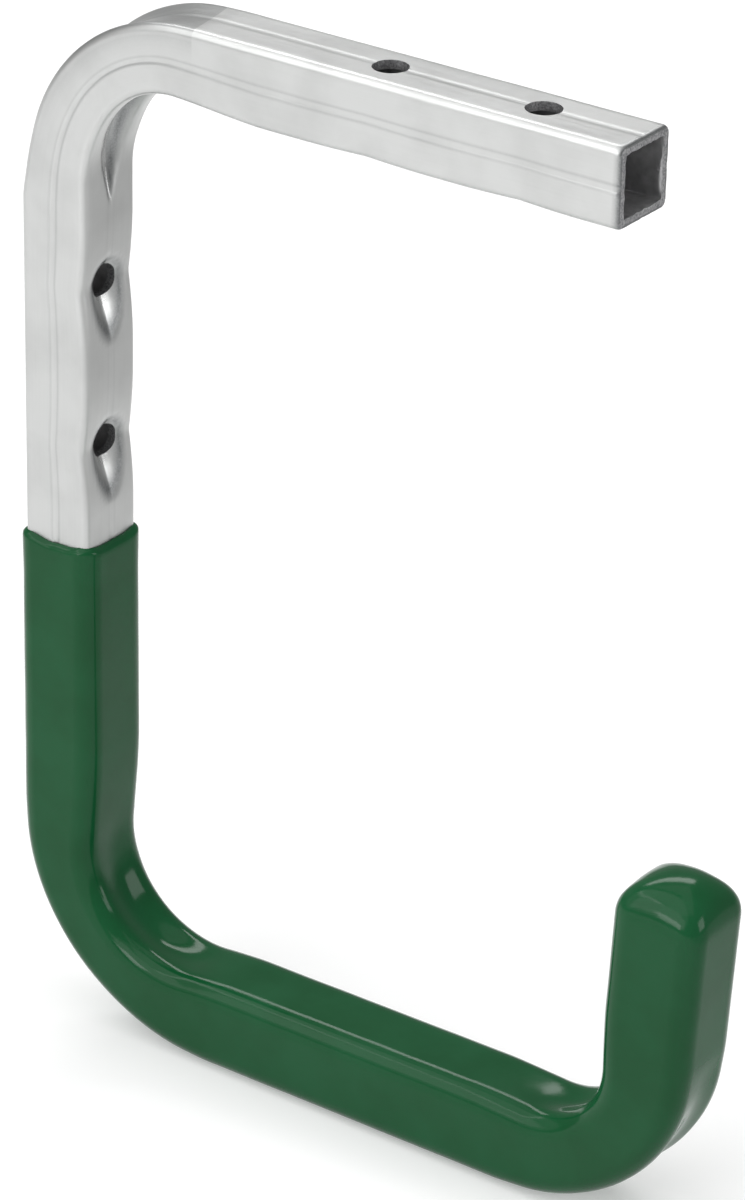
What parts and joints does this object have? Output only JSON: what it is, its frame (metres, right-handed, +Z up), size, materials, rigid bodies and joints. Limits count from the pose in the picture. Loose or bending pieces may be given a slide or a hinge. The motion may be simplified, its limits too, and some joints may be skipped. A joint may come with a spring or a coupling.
{
  "type": "garage utility hook",
  "caption": "Bent square steel tube hook with a screw arm on top, a wall run and a vinyl-dipped cradle with a turned-up tip, for hanging tools, hoses or ladders.",
  "frame": {"origin": "midway between the two wall screw holes, on the tube's wall face", "axes": "+X out of the wall along the arm, +Y across the tube, +Z up; the hook is the same on both sides of the plane Y = 0"},
  "size_m": [0.1628, 0.0192, 0.2227],
  "materials": {
    "plated_steel": "satin zinc plate over rolled steel tube",
    "green_vinyl": "glossy dipped vinyl"
  },
  "bodies": {
    "root": {"hook_tube": "plated_steel", "vinyl_sleeve": "green_vinyl"}
  },
  "joints": []
}
